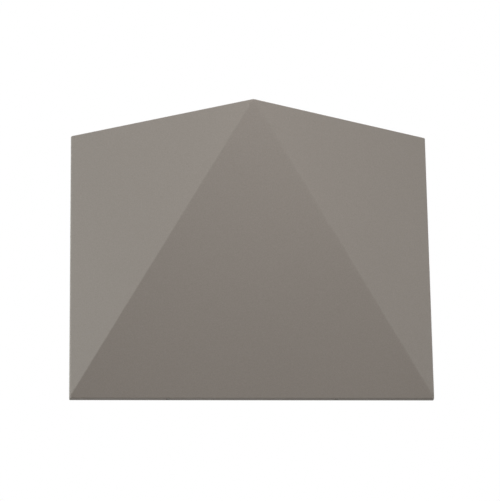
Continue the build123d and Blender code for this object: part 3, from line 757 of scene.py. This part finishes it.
# For each node of pan head screws: the way their heads face, their size, body and slot
PAN_SCREWS = {
    "clip_screws": ("-Z", SMALL_SCREW, "cover", "screw_steel"),
    "terminal_fixing_screws": ("-Y", SMALL_SCREW, "base", "screw_steel"),
    "driver_screws": ("-Y", SMALL_SCREW, "base", "screw_steel"),
    "heat_sink_screws": ("-Y", PLATE_SCREW, "base", "screw_steel"),
    "lamp_board_screws": ("Z", SMALL_SCREW, "base", "screw_steel"),
    "reflector_screws": ("Z", SMALL_SCREW, "base", "screw_steel"),
    "earth_screw": ("-Y", PLATE_SCREW, "base", "brass"),
}


def pan_screw(made, size, length, place):
    """A pan head screw with a tapered cross recess, its head seated at level 0."""
    shank_radius, head_radius, head_height = size
    reach = head_radius * RECESS_REACH
    width = head_radius * RECESS_WIDTH
    angles = cross_angles(reach, width)
    rings = []
    for reach_share, width_share, level_share in RECESS_RINGS:
        rings.append(cross(reach * reach_share, width * width_share, head_height * level_share, angles))
    for step in range(HEAD_ROUND_STEPS + 1):
        lean = math.tau / 4 * step / HEAD_ROUND_STEPS
        inset = HEAD_ROUND_WIDTH * (1 - math.sin(lean))
        drop = HEAD_ROUND_HEIGHT * (1 - math.cos(lean))
        rings.append(circle(head_radius - head_height * inset, head_height * (HEAD_TOP - drop), angles))
    for inset, level_share in HEAD_EDGE_RINGS:
        rings.append(circle(head_radius - head_height * inset, head_height * level_share, angles))
    bevel = shank_radius * SHANK_BEVEL
    rings.append(circle(shank_radius, 0.0, angles))
    rings.append(circle(shank_radius, bevel - length, angles))
    rings.append(circle(shank_radius - bevel, -length, angles))
    loft(made, rings, place)


def pan_screws(finishes):
    """Each pan head screw of the light, as long as its solid, turned a little from the next."""
    for node, (facing, size, body, slot) in PAN_SCREWS.items():
        made = bmesh.new()
        turned = FACINGS[facing]
        outward = turned.to_3x3() @ Vector((0, 0, 1))
        head_height = size[-1]
        for number, (low, high) in enumerate(solids_of(node)):
            whole = abs((high - low).dot(outward))
            seat = (low + high) / 2 + outward * (whole / 2 - head_height)
            twist = Matrix.Rotation(FIRST_TWIST + NEXT_TWIST * number, 4, "Z")
            pan_screw(made, size, whole - head_height, Matrix.Translation(seat) @ turned @ twist)
        add_piece(f"{node}_detailed", made, finishes[slot], slot, body, node)


# Lid of the driver: its plate and skirt, the round of its rim and its sunk panel
LID_THICKNESS = 2.0 * MM
LID_SKIRT_INSET = 1.7 * MM
LID_SKIRT_THICKNESS = 1.5 * MM
LID_CORNER = 1.5 * MM
LID_ROUND = 0.7 * MM
LID_ROUND_STEPS = 5
LID_PANEL_INSET = 3.2 * MM
LID_PANEL_DEPTH = 0.5 * MM
LID_PANEL_CORNER = 2.5 * MM


def driver_lid(finish):
    """The driver's lid, with a rounded rim, a bare sunk panel and a skirt that fits in the tray."""
    low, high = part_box("driver_lid")
    width, depth = high.x - low.x, high.z - low.z
    skirt_end = low.y - high.y

    def ring(inset, level, corner=LID_CORNER):
        return rounded_rectangle(width - 2 * inset, depth - 2 * inset, corner, level)

    inner = LID_SKIRT_INSET + LID_SKIRT_THICKNESS
    rings = [
        ring(inner, -LID_THICKNESS),
        ring(inner, skirt_end),
        ring(LID_SKIRT_INSET, skirt_end),
        ring(LID_SKIRT_INSET, -LID_THICKNESS),
        ring(0.0, -LID_THICKNESS),
    ]
    for step in range(LID_ROUND_STEPS + 1):
        lean = math.tau / 4 * step / LID_ROUND_STEPS
        rings.append(ring(LID_ROUND * (1 - math.cos(lean)), -LID_ROUND * (1 - math.sin(lean))))
    rings.append(ring(LID_PANEL_INSET, 0.0, LID_PANEL_CORNER))
    rings.append(ring(LID_PANEL_INSET + LID_PANEL_DEPTH / 2, -LID_PANEL_DEPTH, LID_PANEL_CORNER))
    made = bmesh.new()
    face = Matrix.Translation(((low.x + high.x) / 2, low.y, (low.z + high.z) / 2))
    loft(made, rings, face @ FACINGS["-Y"])
    add_piece("driver_lid_detailed", made, finish, "driver_plastic", "base", "driver_lid")


# Lamps. The square body's rings have an inset and a height, and the round ones a radius and a height.
LAMP_BODY_HEIGHT = 1.0 * MM
LAMP_CORNER = 0.35 * MM
LAMP_BODY_RINGS = ((0.0, 0.0), (0.0, 0.9 * MM), (0.08 * MM, 1.0 * MM))
LAMP_CUP_RINGS = ((1.9 * MM, 1.0 * MM), (1.8 * MM, 0.7 * MM))
PHOSPHOR_RINGS = (
    (1.78 * MM, 0.72 * MM),
    (1.78 * MM, 0.95 * MM),
    (1.44 * MM, 1.02 * MM),
    (0.54 * MM, 1.05 * MM),
)
# Dome over the lamp: its flange, and how much of a quarter turn its rings climb
FLANGE_RADIUS = 2.35 * MM
FLANGE_TOP = 0.15 * MM
FLANGE_RINGS = ((FLANGE_RADIUS, 1.06 * MM), (FLANGE_RADIUS, LAMP_BODY_HEIGHT + FLANGE_TOP))
DOME_STEPS = 9
DOME_TURN = 0.97


def lamp_packages(finishes):
    """Each lamp: a white ceramic body with a cup, yellow phosphor in it and a clear dome over it."""
    ceramics, phosphors, domes = bmesh.new(), bmesh.new(), bmesh.new()
    angles = corner_angles()
    for low, high in solids_of("lamp_emitters"):
        place = Matrix.Translation(((low.x + high.x) / 2, (low.y + high.y) / 2, low.z))
        body = []
        for inset, level in LAMP_BODY_RINGS:
            size = high.x - low.x - 2 * inset
            body.append(rounded_rectangle(size, size, LAMP_CORNER, level))
        loft(ceramics, body + [circle(*ring, angles) for ring in LAMP_CUP_RINGS], place)
        loft(phosphors, [circle(*ring, angles) for ring in PHOSPHOR_RINGS], place)
        radius = high.z - low.z - LAMP_BODY_HEIGHT
        start = math.asin(FLANGE_TOP / radius)
        dome = [circle(*ring, angles) for ring in FLANGE_RINGS]
        for step in range(DOME_STEPS):
            lean = start + (math.tau / 4 * DOME_TURN - start) * step / (DOME_STEPS - 1)
            dome.append(circle(radius * math.cos(lean), LAMP_BODY_HEIGHT + radius * math.sin(lean), angles))
        loft(domes, dome, place)
    add_piece("lamp_ceramics", ceramics, finishes["lamp_ceramic"], "board_white", "base")
    add_piece("lamp_phosphors", phosphors, finishes["lamp_phosphor"], "lamp_resin", "base")
    add_piece("lamp_domes", domes, finishes["lamp_dome"], "lamp_resin", "base", "lamp_emitters")


# Solder on the lamp board: the sizes of its pads, and where the connector's contacts lie along its side
SOLDER_HEIGHT = 0.22 * MM
LAMP_PAD_SIZE = (3.4 * MM, 1.3 * MM)
CONNECTOR_PAD_SIZE = (1.6 * MM, 0.9 * MM)
CONNECTOR_PAD_OFFSET = 0.5 * MM
CONTACT_SHARES = (0.35, 0.65)
# Round corner of a pool of solder, as a share of its smaller side
SOLDER_CORNER = 0.3
# From the pad up: shares of the pool's width, depth, corner and height
SOLDER_RINGS = (
    (1.0, 1.0, 1.0, 0.0),
    (1.0, 1.0, 1.0, 0.3),
    (0.86, 0.8, 0.8, 0.62),
    (0.5, 0.4, 0.4, 1.0),
)


def solder_joint(made, pad, place):
    """A pool of solder with a crown, on its pad."""
    width, depth = pad
    corner = min(pad) * SOLDER_CORNER
    rings = []
    for wide, deep, cornered, high in SOLDER_RINGS:
        rings.append(rounded_rectangle(width * wide, depth * deep, corner * cornered, SOLDER_HEIGHT * high))
    loft(made, rings, place)


def solder_joints(finish):
    """Solder at the front and back of each lamp and behind the connector's two contacts."""
    made = bmesh.new()
    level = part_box("lamp_board")[1].z
    for low, high in solids_of("lamp_emitters"):
        for y in (low.y, high.y):
            solder_joint(made, LAMP_PAD_SIZE, Matrix.Translation(((low.x + high.x) / 2, y, level)))
    low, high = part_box("lamp_connector")
    x = high.x + CONNECTOR_PAD_OFFSET
    for share in CONTACT_SHARES:
        y = low.y + (high.y - low.y) * share
        solder_joint(made, CONNECTOR_PAD_SIZE, Matrix.Translation((x, y, level)))
    add_piece("lamp_board_solder", made, finish, "lug_tin", "base")


# Soft panel lights. Their bearing round the light goes from the front towards +X, and their height angle up
# from level, both in degrees. Then come their distance, size, power in watts and colour.
WHITE = (1.0, 1.0, 1.0)
WARM_WHITE = (1.0, 0.98, 0.975)
COOL_WHITE = (0.922, 0.99, 1.0)
PANELS = {
    "front": (5, 15, 0.65, 0.35, 2.28, WARM_WHITE),
    "left": (-100, -8, 0.65, 0.35, 2.3, COOL_WHITE),
    "right": (100, 0, 0.65, 0.35, 0.77, COOL_WHITE),
    "top": (-60, 78, 0.9, 0.5, 1.8, WHITE),
    "rear_left": (-140, 35, 1.4, 0.8, 4.0, WHITE),
    "rear_right": (150, 15, 1.4, 0.8, 4.0, WHITE),
}
PANELS_AIM = Vector((0.0, -0.03, 0.03))


def add_panels():
    for name, (bearing, rise, distance, size, power, colour) in PANELS.items():
        data = bpy.data.lights.new(name, "AREA")
        data.shape = "SQUARE"
        data.size = size
        data.energy = power
        data.color = colour
        panel = bpy.data.objects.new(name, data)
        bpy.context.scene.collection.objects.link(panel)
        round_z, up = math.radians(bearing), math.radians(rise)
        outward = Vector((math.sin(round_z) * math.cos(up), -math.cos(round_z) * math.cos(up), math.sin(up)))
        panel.location = PANELS_AIM + outward * distance
        panel.rotation_mode = "QUATERNION"
        panel.rotation_quaternion = (-outward).to_track_quat("-Z", "Y")
        panel.visible_camera = False


# Room round the light: a sky that lights it evenly, and a floor that fades into the sky
AMBIENT_STRENGTH = 0.298
AMBIENT_COLOUR = (1.0, 0.956, 0.937, 1.0)
BACKDROP_STRENGTH = 1.0
BACKDROP_COLOUR = (1.0, 1.0, 1.0, 1.0)
FLOOR_LEVEL = -2.3
FLOOR_HALF_SIZE = 40.0
FLOOR_FADE_START = 1.6
FLOOR_FADE_END = 3.2
FLOOR_PALENESS = 0.8
# Rays that see the sky and the floor as such. The others are the light that falls on things.
SEEING_RAYS = ("Is Camera Ray", "Is Glossy Ray", "Is Transmission Ray")


def seen_directly(tree):
    """1 for the rays that see the sky and the floor as such, 0 for the light that falls on things."""
    path = tree.nodes.new("ShaderNodeLightPath")
    total = path.outputs[SEEING_RAYS[0]]
    for ray in SEEING_RAYS[1:]:
        either = tree.nodes.new("ShaderNodeMath")
        either.operation = "MAXIMUM"
        tree.links.new(total, either.inputs[0])
        tree.links.new(path.outputs[ray], either.inputs[1])
        total = either.outputs["Value"]
    return total


def floor_finish():
    """Pale plaster floor, lightened to a studio white, that fades into the backdrop."""
    finish = Finish("floor", specular=0.2)
    tone = finish.noise(120 * MM, detail=4, rough=0.6)
    finish.tint(finish.spread(tone), srgb(238, 236, 232), srgb(245, 243, 240))
    finish.roughen(finish.noise(40 * MM, detail=3), low=0.7, high=0.85)
    white = finish.node("ShaderNodeEmission")
    white.inputs["Color"].default_value = BACKDROP_COLOUR
    white.inputs["Strength"].default_value = BACKDROP_STRENGTH
    distance = finish.node("ShaderNodeVectorMath", operation="LENGTH")
    finish.put(distance.inputs["Vector"], finish.place)
    paler = finish.level(distance.outputs["Value"], FLOOR_FADE_START, FLOOR_FADE_END, FLOOR_PALENESS, 1.0,
                         smooth=True)
    mix = finish.node("ShaderNodeMixShader")
    finish.put(mix.inputs["Fac"], finish.maths("MULTIPLY", paler, seen_directly(finish.tree)))
    finish.put(mix.inputs[1], finish.shader.outputs["BSDF"])
    finish.put(mix.inputs[2], white.outputs["Emission"])
    finish.put(finish.tree.nodes["Material Output"].inputs["Surface"], mix.outputs["Shader"])
    return finish


def add_sky():
    """An even pale light from all sides, from a sky that looks white."""
    world = bpy.data.worlds.new("studio")
    bpy.context.scene.world = world
    world.use_nodes = True
    tree = world.node_tree
    lighting = tree.nodes["Background"]
    lighting.inputs["Color"].default_value = AMBIENT_COLOUR
    lighting.inputs["Strength"].default_value = AMBIENT_STRENGTH
    backdrop = tree.nodes.new("ShaderNodeBackground")
    backdrop.inputs["Color"].default_value = BACKDROP_COLOUR
    backdrop.inputs["Strength"].default_value = BACKDROP_STRENGTH
    either = tree.nodes.new("ShaderNodeMixShader")
    tree.links.new(seen_directly(tree), either.inputs["Fac"])
    tree.links.new(lighting.outputs["Background"], either.inputs[1])
    tree.links.new(backdrop.outputs["Background"], either.inputs[2])
    tree.links.new(either.outputs["Shader"], tree.nodes["World Output"].inputs["Surface"])


def add_floor():
    """A plain pale floor far below the light."""
    mesh = bpy.data.meshes.new("floor")
    half = FLOOR_HALF_SIZE
    corners = [(-half, -half, 0), (half, -half, 0), (half, half, 0), (-half, half, 0)]
    mesh.from_pydata(corners, [], [(0, 1, 2, 3)])
    mesh.materials.append(floor_finish().material)
    floor = bpy.data.objects.new("floor", mesh)
    floor.location.z = FLOOR_LEVEL
    bpy.context.scene.collection.objects.link(floor)


add_camera()
light_finishes = all_finishes()
dress_nodes(light_finishes)
fixing_screws(light_finishes["fixing_steel"])
pan_screws(light_finishes)
driver_lid(light_finishes["driver_plastic"])
lamp_packages(light_finishes)
solder_joints(light_finishes["lug_tin"])
add_panels()
add_sky()
add_floor()
bpy.context.scene.view_settings.view_transform = "Standard"
